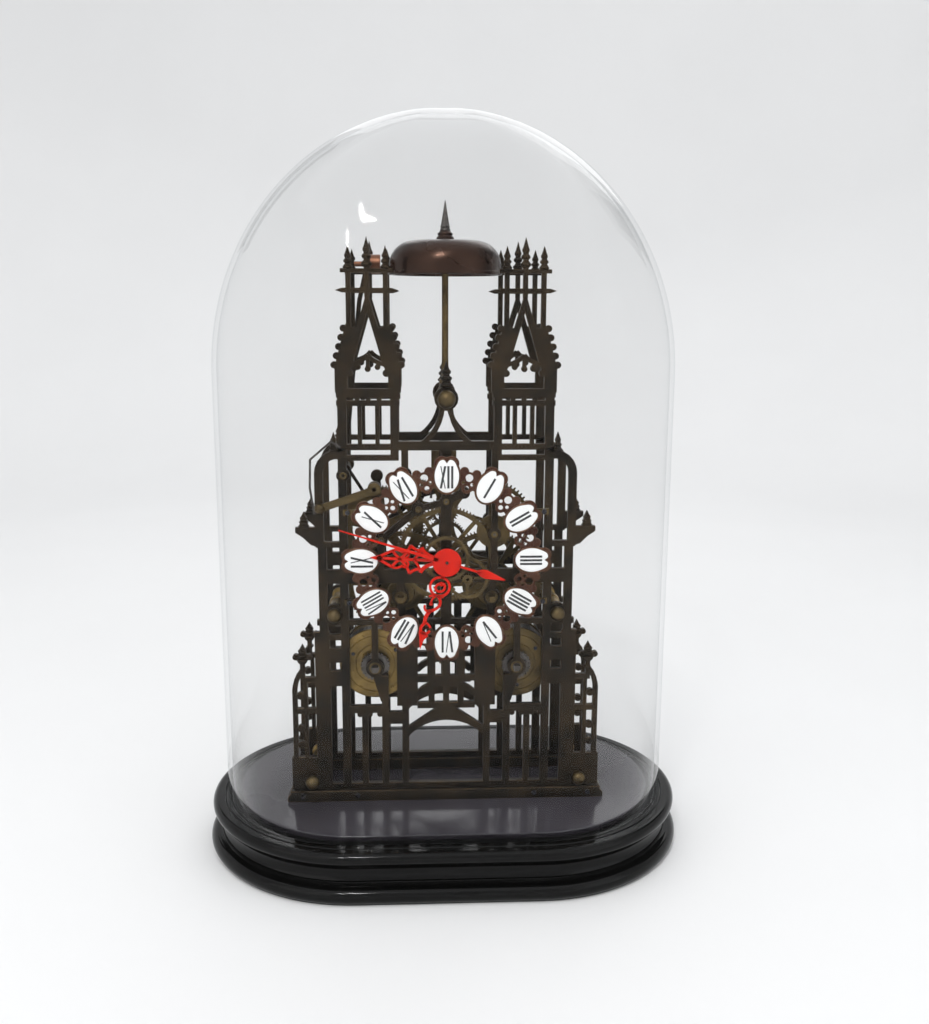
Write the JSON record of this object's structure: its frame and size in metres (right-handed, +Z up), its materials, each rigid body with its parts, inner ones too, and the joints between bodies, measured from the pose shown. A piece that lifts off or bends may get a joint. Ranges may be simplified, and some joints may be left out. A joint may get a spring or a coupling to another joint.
{
  "type": "skeleton clock",
  "caption": "Skeleton clock with pierced cathedral plates, enamel dial cartouches, red hands, top bell and short pendulum, on a black oval base under a lift-off glass dome.",
  "frame": {"origin": "centre of the base's underside", "axes": "+Z up, the dial faces -Y, +X to the right as the dial is read"},
  "size_m": [0.34, 0.219, 0.5075],
  "materials": {
    "base": "polished black lacquer on wood",
    "glass": "clear blown glass",
    "plates": "dark toned, satin",
    "brass": "aged, satin",
    "brass_dark": "aged, satin",
    "bell_metal": "toned bell metal, soft polish",
    "steel": "polished, slightly blued",
    "dial": "dark toned, satin",
    "enamel": "fired white enamel",
    "numerals": "fired black",
    "hands": "red paint",
    "copper": "polished copper alloy"
  },
  "bodies": {
    "frame": {"base_foot": "base", "base_moulding": "base", "platform": "base", "front_plate": "plates", "back_plate": "plates", "front_sill": "plates", "back_sill": "plates", "plate_pillars": "brass_dark", "top_pillar": "brass_dark", "ball_nuts": "brass_dark", "rear_nuts": "brass_dark", "front_bushes": "brass", "back_bushes": "brass", "bell_post": "brass_dark", "bell": "bell_metal", "bell_collar": "plates", "bell_spire": "steel", "dial_ring": "dial", "dial_feet": "brass_dark", "dial_cartouches": "enamel", "dial_numerals": "numerals", "going_barrel_arbor": "steel", "strike_barrel_arbor": "steel", "fusee_chains": "steel", "escape_cock": "brass_dark", "pendulum_cock": "brass_dark", "lever_spring": "steel"},
    "glass_dome": {"glass_dome": "glass"},
    "going_fusee": {"going_fusee": "brass_dark", "going_great_wheel": "brass_dark"},
    "going_barrel": {"going_barrel": "brass"},
    "centre_arbor": {"centre_arbor": "steel", "centre_wheel": "brass_dark", "cannon_pinion": "brass_dark", "minute_hand": "hands"},
    "third_wheel": {"third_arbor": "steel", "third_wheel": "brass_dark"},
    "seconds_arbor": {"seconds_arbor": "steel", "seconds_wheel": "brass_dark", "seconds_hand": "hands"},
    "escape_wheel": {"escape_arbor": "steel", "escape_wheel": "brass_dark"},
    "minute_wheel": {"minute_wheel": "brass_dark"},
    "hour_wheel": {"hour_wheel": "brass_dark", "hour_hand": "hands"},
    "pendulum": {"pendulum_rod": "steel", "pendulum_bob": "brass", "rating_nut": "brass"},
    "pallets": {"pallets": "steel", "crutch": "brass_dark"},
    "strike_fusee": {"strike_fusee": "brass_dark", "strike_great_wheel": "brass_dark"},
    "strike_barrel": {"strike_barrel": "brass"},
    "pin_wheel": {"pin_arbor": "steel", "pin_wheel": "brass_dark"},
    "locking_wheel": {"locking_wheel": "brass_dark"},
    "fly": {"fly": "brass_dark"},
    "hammer": {"hammer_arm": "plates", "hammer_head": "copper"},
    "repeat_lever": {"repeat_lever": "brass_dark"}
  },
  "joints": [
    {"name": "dome_lift", "type": "slide", "parent": "frame", "child": "glass_dome", "axis": [0, 0, 1], "range_m": [0, 0.48]},
    {"name": "going_fusee_turn", "type": "hinge", "parent": "frame", "child": "going_fusee", "pos_m": [0.031, -0.0087, 0.186], "axis": [0, 1, 0], "continuous": true},
    {"name": "going_barrel_turn", "type": "hinge", "parent": "frame", "child": "going_barrel", "pos_m": [0.049, -0.0087, 0.1355], "axis": [0, 1, 0], "continuous": true},
    {"name": "centre_turn", "type": "hinge", "parent": "frame", "child": "centre_arbor", "pos_m": [0, -0.0087, 0.2142], "axis": [0, 1, 0], "continuous": true},
    {"name": "third_turn", "type": "hinge", "parent": "frame", "child": "third_wheel", "pos_m": [0.03263, -0.0087, 0.22941], "axis": [0, 1, 0], "continuous": true},
    {"name": "seconds_turn", "type": "hinge", "parent": "frame", "child": "seconds_arbor", "pos_m": [0, -0.0087, 0.2142], "axis": [0, 1, 0], "continuous": true},
    {"name": "escape_turn", "type": "hinge", "parent": "frame", "child": "escape_wheel", "pos_m": [0, -0.0087, 0.2365], "axis": [0, 1, 0], "continuous": true},
    {"name": "minute_wheel_turn", "type": "hinge", "parent": "frame", "child": "minute_wheel", "pos_m": [0.01414, -0.0087, 0.20006], "axis": [0, 1, 0], "continuous": true},
    {"name": "hour_turn", "type": "hinge", "parent": "frame", "child": "hour_wheel", "pos_m": [0, -0.0087, 0.2142], "axis": [0, 1, 0], "continuous": true},
    {"name": "pendulum_swing", "type": "hinge", "parent": "frame", "child": "pendulum", "pos_m": [0, -0.0087, 0.252], "axis": [0, 1, 0], "range_deg": [-3, 3]},
    {"name": "pallet_rock", "type": "hinge", "parent": "frame", "child": "pallets", "pos_m": [0, -0.0087, 0.252], "axis": [0, 1, 0], "range_deg": [-3, 3]},
    {"name": "strike_fusee_turn", "type": "hinge", "parent": "frame", "child": "strike_fusee", "pos_m": [-0.031, -0.0087, 0.186], "axis": [0, 1, 0], "continuous": true},
    {"name": "strike_barrel_turn", "type": "hinge", "parent": "frame", "child": "strike_barrel", "pos_m": [-0.049, -0.0087, 0.1355], "axis": [0, 1, 0], "continuous": true},
    {"name": "pin_wheel_turn", "type": "hinge", "parent": "frame", "child": "pin_wheel", "pos_m": [-0.044, -0.0087, 0.2258], "axis": [0, 1, 0], "continuous": true},
    {"name": "locking_turn", "type": "hinge", "parent": "frame", "child": "locking_wheel", "pos_m": [-0.0187, -0.0087, 0.247], "axis": [0, 1, 0], "continuous": true},
    {"name": "fly_turn", "type": "hinge", "parent": "frame", "child": "fly", "pos_m": [-0.0277, -0.0087, 0.26259], "axis": [0, 1, 0], "continuous": true},
    {"name": "hammer_swing", "type": "hinge", "parent": "frame", "child": "hammer", "pos_m": [-0.0686, -0.0087, 0.27], "axis": [0, 1, 0], "range_deg": [-14, 0]},
    {"name": "repeat_lever_swing", "type": "hinge", "parent": "frame", "child": "repeat_lever", "pos_m": [-0.048, -0.0087, 0.2615], "axis": [0, 1, 0], "range_deg": [-7, 7]}
  ],
  "couplings": [
    {"joint": "going_barrel_turn", "follows": "going_fusee_turn", "ratio": 0.59677},
    {"joint": "centre_turn", "follows": "going_fusee_turn", "ratio": -12},
    {"joint": "third_turn", "follows": "going_fusee_turn", "ratio": 144},
    {"joint": "seconds_turn", "follows": "going_fusee_turn", "ratio": -720},
    {"joint": "escape_turn", "follows": "going_fusee_turn", "ratio": 2080},
    {"joint": "minute_wheel_turn", "follows": "going_fusee_turn", "ratio": 4},
    {"joint": "hour_turn", "follows": "going_fusee_turn", "ratio": -1},
    {"joint": "pallet_rock", "follows": "pendulum_swing", "ratio": 1},
    {"joint": "strike_barrel_turn", "follows": "strike_fusee_turn", "ratio": 0.59677},
    {"joint": "pin_wheel_turn", "follows": "strike_fusee_turn", "ratio": -12},
    {"joint": "locking_turn", "follows": "strike_fusee_turn", "ratio": 117},
    {"joint": "fly_turn", "follows": "strike_fusee_turn", "ratio": -936}
  ]
}
